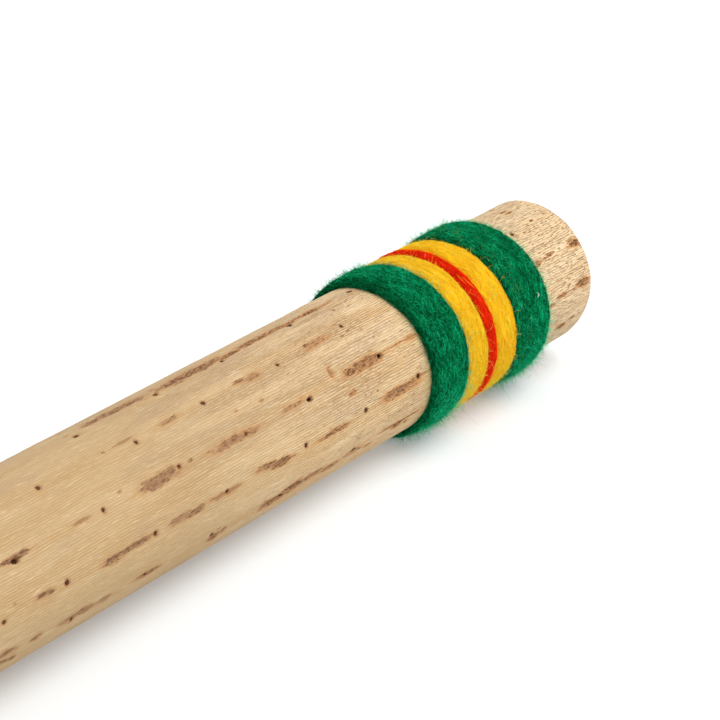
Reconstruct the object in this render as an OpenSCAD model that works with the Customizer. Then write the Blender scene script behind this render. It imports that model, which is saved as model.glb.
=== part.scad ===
/* [Stick] */
// Length of the stick from end face to end face
stick_length = 500; // [400:10:700]
// Outer diameter of the bare wood
stick_d = 50; // [48:1:60]
// Thickness of the wooden wall
wall = 6; // [5:0.5:6.5]

/* [End plugs] */
// Thickness of each wooden plug
plug_thickness = 12; // [8:1:16]
// Width of the glue bead around each plug
bead_width = 2; // [1:0.5:2.5]

/* [Wool wrap] */
// Bare wood between the end face and the wrap
wrap_inset = 28.3; // [20:0.1:40]
// Width of the outer green winding
green_outer_w = 18.1; // [12:0.1:24]
// Width of the outer yellow winding
yellow_outer_w = 10.4; // [6:0.1:16]
// Width of the red strand
red_w = 5; // [3:0.1:8]
// Width of the inner yellow winding
yellow_inner_w = 10.7; // [5:0.1:16]
// Width of the inner green winding
green_inner_w = 16.3; // [12:0.1:24]
// How far the green wool stands out from the wood
green_h = 2.4; // [2:0.1:3.5]
// How far the yellow wool stands out from the wood
yellow_h = 1.5; // [1:0.1:1.7]
// How far the red wool stands out from the wood
red_h = 1.7; // [1:0.1:1.7]
// How far the resting side of the green wool is pressed flat
pressed_flat = 0.6; // [0.3:0.1:0.8]

/* [Thorns] */
// Distance between the thorns of one row
thorn_pitch = 30; // [24:1:42]
// Diameter of a thorn at its broken-off head
thorn_head_d = 1.8; // [1:0.1:2]
// Diameter of a thorn at its tip
thorn_tip_d = 0.7; // [0.4:0.1:1]
// Bare length of the chamber between a plug and the nearest thorn
thorn_free_end = 10; // [5:1:20]
// Angle of the first row of thorns around the stick
first_row_angle = 23; // [15:1:30]

/* [Stones] */
// Length of the heap of stones along the chamber
heap_length = 230; // [120:10:240]
// Diameter of the largest stones, which run along the wall
large_stone_d = 5.4; // [4:0.1:5.4]
// Diameter of the small stones, which run above them
small_stone_d = 3.2; // [2:0.1:3.2]
// Gap that each stone keeps from the wall, the plug and its neighbours
stone_gap = 0.3; // [0.3:0.1:0.5]

/* [Hidden] */
$fn = 96;

tube_r = stick_d / 2;
bore_r = tube_r - wall;
half_length = stick_length / 2;
chamber_half = half_length - plug_thickness;

// The stick lies along X on the flats of its four green windings, with Z = 0 underneath it.
axis_height = tube_r + green_h - pressed_flat;

// Distances from an end face to the end of each winding
green_outer_end = wrap_inset + green_outer_w;
yellow_outer_end = green_outer_end + yellow_outer_w;
red_end = yellow_outer_end + red_w;
yellow_inner_end = red_end + yellow_inner_w;

// Every thorn of a row lies in one plane through the axis, so the rows leave straight lanes between them.
ROWS = 12;
row_step = 360 / ROWS;
thorn_spacing = thorn_pitch / ROWS;
// How many spacings further along each row starts, all different so that no two thorns meet on the axis
ROW_STARTS = [8, 0, 5, 1, 11, 4, 6, 10, 2, 7, 3, 9];
thorn_half_span = chamber_half - thorn_free_end;
thorn_count = floor(2 * thorn_half_span / thorn_spacing) + 1;
thorn_head_depth = 0.5;
thorn_tip_reach = bore_r - 2.5;

// Lanes are numbered around the stick, halfway between two thorn rows.
LOW_LANE = 8;
large_stone_r = large_stone_d / 2;
small_stone_r = small_stone_d / 2;
small_track_r = bore_r - large_stone_d - small_stone_r - 3 * stone_gap;
// The smallest stone of a row, as a share of its largest
STONE_VARIATION = 0.82;
// Turn from one stone's size to the next, in degrees of a sine
STONE_TURN = 97;

// Places a child that is modelled around the origin on the axis of the stick.
module on_axis() {
    translate([0, 0, axis_height]) children();
}

// A round solid along X, from x with the given length, whose radius changes from r1 to r2.
module round_bar(x, length, r1, r2) {
    translate([x, 0, 0])
        rotate([0, 90, 0])
            cylinder(r1 = r1, r2 = r2, h = length);
}

// Copies a child that is modelled at the right-hand end, with side 1, or mirrors it to the left, with side -1.
module at_end(side) {
    on_axis()
        mirror([side < 0 ? 1 : 0, 0, 0])
            children();
}

module cactus_tube() {
    color("burlywood")
        on_axis()
            difference() {
                round_bar(-half_length, stick_length, tube_r, tube_r);
                round_bar(-half_length - 1, stick_length + 2, bore_r, bore_r);
                for (side = [-1, 1])
                    mirror([side < 0 ? 1 : 0, 0, 0])
                        round_bar(half_length - bead_width, 2 * bead_width, bore_r, bore_r + 2 * bead_width);
            }
}

module end_plug(side) {
    color("peru")
        at_end(side)
            round_bar(chamber_half, plug_thickness, bore_r, bore_r);
}

// The bead fills the bevel at the mouth of the bore, flush with the end face.
module glue_bead(side) {
    color("sienna")
        at_end(side)
            difference() {
                round_bar(half_length - bead_width, bead_width, bore_r, bore_r + bead_width);
                round_bar(half_length - 2 * bead_width, 3 * bead_width, bore_r, bore_r);
            }
}

// One winding of wool from start to end, measured from the end face. Its outside is crowned, and its
// underside is pressed flat where it reaches below the floor.
module winding(side, start, end, height) {
    width = end - start;
    crown = height * 0.45;
    crown_r = (width * width / 4 + crown * crown) / (2 * crown);
    at_end(side)
        intersection() {
            translate([half_length - end, 0, 0])
                rotate([0, 90, 0])
                    rotate_extrude()
                        intersection() {
                            translate([tube_r, 0]) square([height, width]);
                            translate([tube_r + height - crown_r, width / 2]) circle(r = crown_r, $fn = 360);
                        }
            translate([0, -stick_d, -axis_height]) cube([half_length, 2 * stick_d, 2 * stick_d]);
        }
}

module wool_green_outer(side) {
    color("seagreen") winding(side, wrap_inset, green_outer_end, green_h);
}

module wool_yellow_outer(side) {
    color("gold") winding(side, green_outer_end, yellow_outer_end, yellow_h);
}

module wool_red(side) {
    color("orangered") winding(side, yellow_outer_end, red_end, red_h);
}

module wool_yellow_inner(side) {
    color("gold") winding(side, red_end, yellow_inner_end, yellow_h);
}

module wool_green_inner(side) {
    color("seagreen") winding(side, yellow_inner_end, yellow_inner_end + green_inner_w, green_h);
}

// One thorn through the wall and across the chamber, with its head at the given angle around the stick.
module thorn(x, angle) {
    translate([x, 0, 0])
        rotate([angle - 90, 0, 0])
            translate([0, 0, -thorn_tip_reach])
                cylinder(
                    d1 = thorn_tip_d,
                    d2 = thorn_head_d,
                    h = thorn_tip_reach + tube_r - thorn_head_depth
                );
}

module thorn_row(number) {
    color("saddlebrown")
        on_axis()
            for (i = [ROW_STARTS[number - 1] : ROWS : thorn_count - 1])
                thorn(thorn_half_span - i * thorn_spacing, first_row_angle + row_step * (number - 1));
}

function lane_angle(lane) = first_row_angle + row_step * (lane + 0.5);
function stone_r(i, largest_r) =
    largest_r * (STONE_VARIATION + (1 - STONE_VARIATION) * abs(sin(STONE_TURN * i)));

// Where stone i of a row lies along the chamber. Each row is gathered at the right-hand plug.
function stone_x(i, largest_r) = chamber_half - stone_gap - largest_r - i * (2 * largest_r + stone_gap);
function stone_count(share, largest_r) = floor(heap_length * share / (2 * largest_r + stone_gap));

// A row of large stones along the wall of a lane, as long as its share of the heap.
module wall_stones(lane, share) {
    color("slategray")
        on_axis()
            for (i = [0 : stone_count(share, large_stone_r) - 1])
                rotate([lane_angle(lane), 0, 0])
                    translate([
                        stone_x(i, large_stone_r),
                        bore_r - stone_gap - stone_r(i, large_stone_r),
                        0
                    ])
                        sphere(r = stone_r(i, large_stone_r));
}

// A row of small stones above the large ones of the same lane.
module upper_stones(lane, share) {
    color("slategray")
        on_axis()
            for (i = [0 : stone_count(share, small_stone_r) - 1])
                rotate([lane_angle(lane), 0, 0])
                    translate([stone_x(i, small_stone_r), small_track_r, 0])
                        sphere(r = stone_r(i, small_stone_r));
}

cactus_tube();
end_plug(-1);  // end_plug_left
end_plug(1);  // end_plug_right
glue_bead(-1);  // glue_bead_left
glue_bead(1);  // glue_bead_right
wool_green_outer(-1);  // wool_green_outer_left
wool_yellow_outer(-1);  // wool_yellow_outer_left
wool_red(-1);  // wool_red_left
wool_yellow_inner(-1);  // wool_yellow_inner_left
wool_green_inner(-1);  // wool_green_inner_left
wool_green_outer(1);  // wool_green_outer_right
wool_yellow_outer(1);  // wool_yellow_outer_right
wool_red(1);  // wool_red_right
wool_yellow_inner(1);  // wool_yellow_inner_right
wool_green_inner(1);  // wool_green_inner_right
thorn_row(1);  // thorn_row_1
thorn_row(2);  // thorn_row_2
thorn_row(3);  // thorn_row_3
thorn_row(4);  // thorn_row_4
thorn_row(5);  // thorn_row_5
thorn_row(6);  // thorn_row_6
thorn_row(7);  // thorn_row_7
thorn_row(8);  // thorn_row_8
thorn_row(9);  // thorn_row_9
thorn_row(10);  // thorn_row_10
thorn_row(11);  // thorn_row_11
thorn_row(12);  // thorn_row_12
wall_stones(LOW_LANE, 1);  // stone_row_1
wall_stones(LOW_LANE - 1, 0.92);  // stone_row_2
wall_stones(LOW_LANE + 1, 0.82);  // stone_row_3
wall_stones(LOW_LANE - 2, 0.65);  // stone_row_4
upper_stones(LOW_LANE, 0.75);  // stone_row_5
upper_stones(LOW_LANE - 1, 0.6);  // stone_row_6
upper_stones(LOW_LANE + 1, 0.5);  // stone_row_7
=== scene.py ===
import math
from collections import namedtuple

import bmesh
import bpy
import numpy as np
from mathutils import Matrix, Vector


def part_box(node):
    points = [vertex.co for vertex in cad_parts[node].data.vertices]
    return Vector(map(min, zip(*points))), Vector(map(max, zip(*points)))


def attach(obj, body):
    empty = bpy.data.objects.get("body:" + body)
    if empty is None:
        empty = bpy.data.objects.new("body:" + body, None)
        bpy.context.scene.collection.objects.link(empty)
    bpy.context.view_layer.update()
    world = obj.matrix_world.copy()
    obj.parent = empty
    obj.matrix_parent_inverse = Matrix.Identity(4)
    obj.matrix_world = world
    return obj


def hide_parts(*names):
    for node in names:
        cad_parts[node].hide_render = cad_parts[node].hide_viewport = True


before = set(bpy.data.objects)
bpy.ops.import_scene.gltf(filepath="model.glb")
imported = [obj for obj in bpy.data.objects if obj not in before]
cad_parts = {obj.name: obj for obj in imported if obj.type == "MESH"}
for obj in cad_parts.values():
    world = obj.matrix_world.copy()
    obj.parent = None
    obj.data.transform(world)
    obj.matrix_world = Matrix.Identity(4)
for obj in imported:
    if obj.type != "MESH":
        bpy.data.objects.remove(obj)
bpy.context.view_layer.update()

MM = 0.001
TURN = 2 * math.pi

# ---------------- sizes, all from the frame

tube_low, tube_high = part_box("cactus_tube")
plug_low, plug_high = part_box("end_plug_right")
bead_low, bead_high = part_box("glue_bead_right")
END_X = tube_high.x
TUBE_R = (tube_high.y - tube_low.y) / 2
AXIS_Z = (tube_high.z + tube_low.z) / 2
BORE_R = (plug_high.y - plug_low.y) / 2
PLUG_X = plug_low.x
BEAD_R = (bead_high.y - bead_low.y) / 2
BEAD_DEPTH = bead_high.x - bead_low.x
WRAP_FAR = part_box("wool_green_outer_right")[1].x
WRAP_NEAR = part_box("wool_green_inner_right")[0].x
ENDS = {"left": -1, "right": 1}
THORN_ROWS = 12
STONE_ROWS = 7


# ---------------- numbers and meshes

def ease(value, low, high):
    """0 below low, 1 above high, and an even curve between."""
    t = np.clip((value - low) / (high - low), 0, 1)
    return t * t * (3 - 2 * t)


HASH = (73856093, 19349663, 83492791)


def soft_noise(points, size, seed):
    """Smooth noise from -1 to 1. Its bumps have the given size in mm, which may differ by axis."""
    place = np.asarray(points, float) / (np.asarray(size, float) * MM)
    cell = np.floor(place).astype(np.int64)
    part = ease(place - cell, 0, 1)
    total = np.zeros(len(place))
    for corner in np.ndindex(2, 2, 2):
        near = cell + np.array(corner)
        mixed = np.bitwise_xor.reduce(near * HASH, axis=1) ^ (seed * 2654435761)
        mixed = (mixed ^ (mixed >> 13)) * 1274126177
        value = ((mixed ^ (mixed >> 16)) & 0xFFFF) / 32767.5 - 1
        total += value * np.prod(np.where(np.array(corner) == 1, part, 1 - part), axis=1)
    return total


def unit(vectors):
    """The same directions, each one long."""
    return vectors / np.maximum(np.linalg.norm(vectors, axis=-1, keepdims=True), 1e-12)


def around_axis(x, angle, radius):
    """Points from their place along the stick, angle around it (+Y is 0, +Z a quarter turn) and radius."""
    x, angle, radius = np.broadcast_arrays(x, angle, radius)
    return np.stack([x, radius * np.cos(angle), AXIS_Z + radius * np.sin(angle)], axis=-1)


def turns(count):
    """Evenly spaced angles around the stick."""
    return np.arange(count) / count * TURN


def ring_faces(rings, around, closed=False):
    """Faces between rings of points that are numbered ring by ring."""
    a, j = np.meshgrid(np.arange(rings if closed else rings - 1), np.arange(around), indexing="ij")
    b, k = (a + 1) % rings, (j + 1) % around
    corners = [a * around + j, a * around + k, b * around + k, b * around + j]
    return np.stack(corners, axis=-1).reshape(-1, 4).tolist()


def on_sheet(u, turn, bottom=0.0, height=1.0):
    """Where points go when laid flat for baking: along, around in turns, and the strip they share."""
    return np.stack([np.ravel(part) for part in np.broadcast_arrays(u, turn, bottom, height)], axis=1)


SHEET_TURNS = 1.02


def lay_flat(mesh, flat):
    """A UV layer from where each point goes. A face that crosses the seam goes on past one whole turn."""
    corner, size = np.zeros(len(mesh.loops), np.int64), np.zeros(len(mesh.polygons), np.int64)
    mesh.loops.foreach_get("vertex_index", corner)
    mesh.polygons.foreach_get("loop_total", size)
    u, turn, bottom, height = flat[corner].T
    start = np.cumsum(size) - size
    spread = np.maximum.reduceat(turn, start) - np.minimum.reduceat(turn, start)
    turn = turn + (np.repeat(spread, size) > 0.5) * (turn < 0.5)
    spot = np.stack([u, bottom + height * turn / SHEET_TURNS], axis=1)
    mesh.uv_layers.new(name="OFBake").data.foreach_set("uv", spot.astype(np.float32).ravel())


def make_piece(name, points, faces, material, body, replaced, numbers=None, flat=None):
    """A piece from points and faces, with named numbers at its points for its material to read."""
    mesh = bpy.data.meshes.new(name)
    mesh.from_pydata(np.asarray(points).tolist(), [], faces)
    mesh.update()
    mesh.materials.append(material)
    mesh.polygons.foreach_set("use_smooth", [True] * len(mesh.polygons))
    for key, values in (numbers or {}).items():
        mesh.attributes.new(key, "FLOAT", "POINT").data.foreach_set("value", np.asarray(values, np.float32))
    if flat is not None:
        lay_flat(mesh, flat)
    piece = bpy.data.objects.new(name, mesh)
    bpy.context.scene.collection.objects.link(piece)
    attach(piece, body)
    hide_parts(*replaced)


def node_points(node):
    """The corners of a CAD node's mesh as an array."""
    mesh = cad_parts[node].data
    flat = np.zeros(len(mesh.vertices) * 3, np.float32)
    mesh.vertices.foreach_get("co", flat)
    return flat.reshape(-1, 3).astype(float)


# ---------------- materials

class Shader:
    """A material under construction. Each call adds nodes and returns the socket that carries the result."""

    def __init__(self, name):
        self.material = bpy.data.materials.new(name)
        self.material.use_nodes = True
        self.tree = self.material.node_tree
        self.surface = self.tree.nodes["Principled BSDF"]
        self.place = self.add("ShaderNodeTexCoord").outputs["Object"]

    def add(self, kind, inputs=None, **settings):
        node = self.tree.nodes.new(kind)
        for key, value in settings.items():
            setattr(node, key, value)
        for key, value in (inputs or {}).items():
            self.feed(node.inputs[key], value)
        return node

    def feed(self, socket, value):
        """Links a socket to another, or sets its value."""
        if isinstance(value, bpy.types.NodeSocket):
            self.tree.links.new(value, socket)
        elif socket.type == "RGBA":
            socket.default_value = (*value, 1)
        else:
            socket.default_value = value

    def calc(self, operation, *values):
        return self.add("ShaderNodeMath", dict(enumerate(values)), operation=operation).outputs[0]

    def both(self, *values):
        """The product of two or more numbers."""
        result = values[0]
        for value in values[1:]:
            result = self.calc("MULTIPLY", result, value)
        return result

    def scaled(self, value, by, plus=0.0):
        return self.calc("MULTIPLY_ADD", value, by, plus)

    def mix(self, factor, first, second):
        return self.add("ShaderNodeMix", {0: factor, 6: first, 7: second}, data_type="RGBA").outputs[2]

    def tint(self, color, tint, *shares):
        """The color, turned toward a tint by the product of the shares."""
        return self.mix(self.both(*shares), color, tint)

    def step(self, value, low, high):
        ends = {"Value": value, "From Min": low, "From Max": high}
        return self.add("ShaderNodeMapRange", ends, interpolation_type="SMOOTHSTEP").outputs[0]

    def number(self, name):
        return self.add("ShaderNodeAttribute", attribute_name=name).outputs["Fac"]

    def split(self, vector):
        return self.add("ShaderNodeSeparateXYZ", {0: vector}).outputs

    def join(self, *values):
        return self.add("ShaderNodeCombineXYZ", dict(enumerate(values))).outputs[0]

    def distance(self, first, second):
        """How far from the origin, given two coordinates."""
        squares = [self.calc("POWER", value, 2.0) for value in (first, second)]
        return self.calc("SQRT", self.calc("ADD", *squares))

    def noise(self, size, place, shift=0.0, detail=2.0, roughness=0.5):
        """Noise whose features have the given size in mm on each axis of place."""
        mapping = {"Vector": place, "Scale": [1 / (MM * s) for s in size],
                   "Location": (shift, shift * 1.7, shift * 2.3)}
        spot = self.add("ShaderNodeMapping", mapping, vector_type="POINT").outputs[0]
        texture = {"Vector": spot, "Scale": 1.0, "Detail": detail, "Roughness": roughness}
        return self.add("ShaderNodeTexNoise", texture).outputs["Fac"]

    def finish(self, color, height=None, depth_mm=0.1, roughness=0.7, specular=0.3):
        self.feed(self.surface.inputs["Base Color"], color)
        self.feed(self.surface.inputs["Roughness"], roughness)
        self.surface.inputs["Specular IOR Level"].default_value = specular
        if height is not None:
            bump = self.add("ShaderNodeBump", {"Distance": depth_mm * MM, "Height": height})
            self.feed(self.surface.inputs["Normal"], bump.outputs[0])
        return self.material


STRAW = (0.510, 0.350, 0.180)
CREAM = (0.66, 0.505, 0.31)
HONEY = (0.45, 0.245, 0.080)
AMBER = (0.46, 0.195, 0.045)
HAZEL = (0.37, 0.200, 0.080)
RUST = (0.28, 0.108, 0.028)
MAUVE = (0.200, 0.096, 0.044)
LILAC = (0.43, 0.310, 0.210)
TAN = (0.38, 0.215, 0.095)
GREY_WOOD = (0.31, 0.225, 0.170)
DARK_BROWN = (0.072, 0.026, 0.009)
# Painted shade inside the thorn holes
HOLE_SHADE_BLACK = (0.012, 0.006, 0.004)
PORE_BROWN = (0.16, 0.085, 0.04)
PALE = (0.76, 0.60, 0.39)
# Painted shade: the brown that darkens the middle of the stick
MIDDLE_SHADE = (0.310, 0.202, 0.092)
WEATHERED = (0.230, 0.135, 0.066)
# Green tint for the wood beside the wool
WOOL_SIDE_GREEN = (0.16, 0.42, 0.12)
GRAIN_PITCH = 0.82 * MM
# The middle of the weathered patch, from underneath the stick
WEATHERED_ANGLE = math.radians(206)
# Noise with a feature of this size in mm on an axis doesn't change along that axis.
DEEP = 400


class Wood(Shader):
    """The material of the tube, unrolled: its noise runs along the slightly wavy grain."""

    def __init__(self, name):
        super().__init__(name)
        self.x, y, z = self.split(self.place)
        up = self.calc("SUBTRACT", z, AXIS_Z)
        self.angle = self.calc("ARCTAN2", y, self.scaled(up, -1.0))
        arc, out = self.scaled(self.angle, TUBE_R), self.distance(y, up)
        straight = self.join(self.x, arc, out)
        arc = self.scaled(self.noise((38, 9, DEEP), straight, 5.5), 1.6 * MM, arc)
        self.arc = self.scaled(self.noise((8, 2.2, DEEP), straight, 15.5), 0.7 * MM, arc)
        self.flat = self.join(self.x, self.arc, out)
        self.far = self.calc("ABSOLUTE", self.x)
        # fresh runs from 0 in the middle of the stick to 1 toward its ends: the painted shade of the middle
        # fades out along it, and the grain grows sharper
        self.fresh = self.step(self.far, 0.04, 0.17)
        self.rough_end = self.step(self.far, WRAP_NEAR, WRAP_FAR)

    def along(self, length, width, shift, detail=2.0, roughness=0.5):
        """Noise with features of the given length along the grain and width across it, in mm."""
        return self.noise((length, width, DEEP), self.flat, shift, detail, roughness)


def wood_tones(s, row_angle):
    """Warm, pale and grey zones, stains along the rows of thorns, and painted shade that darkens the middle
    of the stick.
    """
    color = s.tint(STRAW, HONEY, s.step(s.along(60, 8, 3.1), 0.42, 0.66), 0.45)
    color = s.tint(color, CREAM, s.step(s.along(24, 3, 8.4, 3), 0.45, 0.70), 0.5)
    color = s.tint(color, GREY_WOOD, s.step(s.along(30, 8, 21.7, 3), 0.52, 0.72), 0.42)
    from_row = s.scaled(s.calc("SUBTRACT", s.angle, row_angle), float(THORN_ROWS))
    stain = s.step(s.along(22, 1.6, 41.0, 3), 0.44, 0.62)
    color = s.tint(color, HONEY, s.step(s.calc("COSINE", from_row), 0.45, 1.0), stain, 0.5)
    # Painted shade: the middle of the stick is darkened, as if less light reached it
    color = s.tint(color, MIDDLE_SHADE, s.scaled(s.fresh, -0.62, 0.62))
    upper = s.step(s.calc("COSINE", s.calc("SUBTRACT", s.angle, WEATHERED_ANGLE)), 0.42, 0.84)
    patch = s.both(upper, s.step(s.x, 0.03, 0.08), s.step(s.x, 0.165, 0.13))
    color = s.tint(color, WEATHERED, patch, s.step(s.along(40, 4, 91.0, 3), 0.36, 0.60), 0.42)
    return s.tint(color, PALE, s.rough_end, 0.33)


def wood_grain(s, color):
    """Fine ridges and grooves, dark broken dashes and pits: their color and relief."""
    wave = s.calc("SINE", s.scaled(s.arc, TURN / GRAIN_PITCH))
    ridge = s.both(s.step(wave, 0.0, 0.9), s.step(s.along(2.6, 0.8, 1.2, 3, 0.6), 0.36, 0.58))
    groove = s.both(s.step(wave, -0.2, -0.95), s.step(s.along(5, 0.9, 61.0, 3), 0.40, 0.60))
    color = s.tint(color, PALE, ridge, s.scaled(s.fresh, 0.42, 0.16))
    color = s.tint(color, TAN, groove, s.scaled(s.fresh, 0.44, 0.14))
    fibre = s.along(5.5, 0.38, 31.0, 3, 0.6)
    color = s.tint(color, TAN, s.step(fibre, 0.56, 0.74), s.scaled(s.fresh, 0.35, 0.15))
    color = s.tint(color, PALE, s.step(fibre, 0.42, 0.30), 0.3)
    broken = s.scaled(s.rough_end, 0.035, s.along(1.9, 0.34, 12.0, 3, 0.6))
    zone = s.scaled(s.rough_end, 0.14, s.along(12, 5, 44.0))
    dash = s.both(s.step(broken, 0.58, 0.68), s.step(zone, 0.38, 0.58))
    color = s.tint(color, RUST, dash, s.scaled(s.fresh, 0.60, 0.12))
    speck = s.scaled(s.rough_end, 0.02, s.along(1.7, 0.45, 19.0, 3, 0.6))
    pit = s.both(s.step(speck, 0.655, 0.71), s.fresh)
    relief = s.scaled(groove, -0.8, s.scaled(ridge, 0.7, s.scaled(fibre, 0.8)))
    relief = s.calc("SUBTRACT", relief, s.both(dash, s.fresh))
    return s.tint(color, RUST, pit, 0.75), s.scaled(pit, -1.5, relief)


def wood_scars(s, color, relief):
    """Torn brown scars with a stained halo and open cracks, thorn holes darkened by painted shade, and a
    green tint on the wood beside the wool.
    """
    scar, tone, hole = s.number("scar"), s.number("tone"), s.number("hole")
    dull = s.calc("SUBTRACT", 1.0, s.fresh)
    torn = s.calc("SUBTRACT", s.along(2.8, 0.6, 2.0, 4, 0.65), 0.5)
    edge = s.scaled(s.both(torn, s.step(scar, 0.0, 0.25)), 1.1, scar)
    body = s.step(edge, 0.34, 0.66)
    mottle = s.along(1.5, 0.7, 17.0, 3, 0.6)
    thick = s.step(s.along(3.2, 0.9, 71.0, 3, 0.6), 0.36, 0.60)
    crack = s.both(s.step(edge, 0.30, 0.50), s.step(s.scaled(tone, 0.16, mottle), 0.64, 0.74))
    depth = s.scaled(tone, 0.5, 0.35)
    color = s.tint(color, s.mix(dull, AMBER, HAZEL), s.step(edge, 0.0, 0.46), s.scaled(tone, 0.6, 0.3),
                   s.scaled(s.fresh, 0.2, 0.8))
    fill = s.mix(s.calc("MAXIMUM", thick, dull), RUST, MAUVE)
    color = s.tint(color, fill, body, depth, s.scaled(dull, 0.20, s.scaled(thick, 0.3, 0.62)))
    color = s.tint(color, LILAC, body, s.step(mottle, 0.47, 0.36), s.scaled(s.fresh, 0.30, 0.10))
    color = s.tint(color, DARK_BROWN, crack, depth, s.scaled(s.fresh, 0.30, 0.70))
    color = s.tint(color, RUST, s.step(hole, 0.10, 0.50), 0.6)
    # Painted shade: each thorn hole is painted nearly black, darkest toward the ends of the stick
    hole_shade = s.mix(s.step(dull, 0.5, 0.9), HOLE_SHADE_BLACK, DARK_BROWN)
    color = s.tint(color, hole_shade, s.step(hole, 0.48, 0.62))
    # A green tint on the wood just beside the wool
    color = s.tint(color, WOOL_SIDE_GREEN, s.number("wool_side_tint"), s.step(s.along(2.5, 1.5, 51.0), 0.35, 0.7), 0.35)
    return color, s.scaled(crack, -0.9, relief)


def wood_ends(s, color, relief):
    """The worn rims and the sawn faces, with their rays and open pores."""
    color = s.tint(color, AMBER, s.step(s.far, END_X - 1.1 * MM, END_X - 0.2 * MM), 0.45)
    rays = s.step(s.noise((DEEP, 0.9, 3.5), s.flat, 5.0, 3, 0.6), 0.40, 0.62)
    pores = s.step(s.noise((DEEP, 0.55, 0.55), s.place, 6.0, 3, 0.6), 0.56, 0.66)
    sawn_color = s.tint((0.58, 0.41, 0.23), (0.34, 0.20, 0.095), rays, 0.7)
    sawn_color = s.tint(sawn_color, PORE_BROWN, pores, 0.7)
    sawn = s.number("sawn")
    return s.mix(sawn, color, sawn_color), s.scaled(s.both(sawn, pores), -1.5, relief)


def cactus_wood(row_angle):
    """Sun-dried cactus wood, with its grain and marks sharper toward the ends."""
    s = Wood("cactus_wood")
    color, relief = wood_grain(s, wood_tones(s, row_angle))
    color, relief = wood_scars(s, color, relief)
    color, relief = wood_ends(s, color, relief)
    return s.finish(color, s.both(relief, s.scaled(s.fresh, 0.65, 0.35)), 0.15, 0.74, 0.25)


def end_grain():
    """Sawn end of a plug: growth rings of uneven width, rays and open pores."""
    s = Shader("plug_wood")
    _, y, z = s.split(s.place)
    y, z = s.calc("SUBTRACT", y, 4 * MM), s.calc("SUBTRACT", z, AXIS_Z - 6 * MM)
    out = s.scaled(s.noise((DEEP, 9, 9), s.place, 4.0), 5 * MM, s.distance(y, z))
    ring = s.step(s.noise((1.3, DEEP, DEEP), s.join(out, 0.0, 0.0), 3.0, 3, 0.6), 0.36, 0.64)
    color = s.tint((0.56, 0.39, 0.21), (0.36, 0.205, 0.095), ring, 0.65)
    ray = s.noise((DEEP, 0.9, 12), s.join(0.0, s.scaled(s.calc("ARCTAN2", y, z), 9 * MM), out), 8.0, 3)
    color = s.tint(color, (0.66, 0.49, 0.29), s.step(ray, 0.50, 0.68), 0.4)
    pores = s.step(s.noise((1.2, 0.5, 0.5), s.place, 6.0), 0.60, 0.70)
    color = s.tint(color, PORE_BROWN, pores, 0.5)
    grime = s.step(s.noise((12, 7, 7), s.place, 14.0, 3), 0.45, 0.75)
    color = s.tint(color, (0.30, 0.20, 0.12), grime, 0.35)
    color = s.tint(color, DARK_BROWN, s.number("crack"))
    return s.finish(color, s.calc("SUBTRACT", s.scaled(ring, 0.4), pores), 0.10, 0.75, 0.25)


def glue():
    """Dried wood glue thickened with sawdust."""
    s = Shader("dried_glue")
    clumps = s.noise((1.6, 1.6, 1.6), s.place, 2.0, 4, 0.6)
    color = s.tint((0.33, 0.185, 0.07), (0.56, 0.38, 0.19), s.step(clumps, 0.35, 0.68))
    return s.finish(color, clumps, 0.25, 0.42, 0.5)


# The fourth color of each wool is a painted glow: thin hairs lit through from behind.
Shades = namedtuple("Shades", "dark middle bright sheer fleck fleck_share")
GREEN = Shades((0.0, 0.034, 0.010), (0.003, 0.225, 0.070), (0.006, 0.620, 0.260), (0.050, 0.800, 0.440),
               (0.14, 0.30, 0.02), 0.001)
YELLOW = Shades((0.80, 0.42, 0.008), (0.90, 0.65, 0.022), (0.96, 0.78, 0.08), (1.0, 0.88, 0.30),
                (0.90, 0.30, 0.01), 0.02)
RED = Shades((0.56, 0.011, 0.002), (0.95, 0.031, 0.004), (1.0, 0.09, 0.012), (1.0, 0.30, 0.15),
             (0.98, 0.55, 0.02), 0.02)


def wool(name, shades):
    """Felted wool. A number on each fibre picks its shade, numbers above 1 pick a paler, painted glow of
    light through thin hairs, and a few fibres have another color.
    """
    s = Shader(name)
    strand = s.number("strand")
    color = s.tint(shades.dark, shades.middle, s.step(strand, 0.0, 0.5))
    color = s.tint(color, shades.bright, s.step(strand, 0.5, 1.0))
    # Painted glow for numbers from 1 to 1.5
    color = s.tint(color, shades.sheer, s.step(strand, 1.0, 1.5))
    color = s.tint(color, shades.dark, s.step(s.noise((4, 4, 4), s.place, 6.0, 3), 0.42, 0.68), 0.3)
    # Painted shade: small dark spots stand for the shaded pits between the fibres of the felt.
    color = s.tint(color, shades.dark, s.step(s.noise((1.0, 0.8, 0.8), s.place, 9.0), 0.46, 0.34), 0.65)
    first = 1 - shades.fleck_share
    color = s.tint(color, shades.fleck, s.step(s.number("fleck"), first, first + 0.001), 0.85)
    return s.finish(color, s.noise((0.6, 0.25, 0.25), s.place, 1.0), 0.08, 1.0, 0.02)


def thorn_skin():
    """A dried thorn, streaked from nearly black to dark brown."""
    s = Shader("thorn")
    streak = s.noise((1.2, 1.2, 6), s.place, 3.0, 3)
    color = s.tint((0.040, 0.014, 0.006), (0.13, 0.050, 0.020), s.step(streak, 0.35, 0.7))
    return s.finish(color, streak, 0.05, 0.75, 0.15)


def river_stone():
    """Small river-worn stones of several greys and browns."""
    s = Shader("stone")
    kind = s.number("kind")
    color = s.tint((0.16, 0.155, 0.15), (0.36, 0.33, 0.29), s.step(kind, 0.2, 0.5))
    color = s.tint(color, (0.30, 0.21, 0.15), s.step(kind, 0.55, 0.9))
    grain = s.noise((0.7, 0.7, 0.7), s.place, 5.0, 4, 0.65)
    color = s.tint(color, (0.55, 0.52, 0.48), s.step(grain, 0.45, 0.7), 0.5)
    return s.finish(color, grain, 0.06, 0.6, 0.4)


# ---------------- thorns and scars

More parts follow.
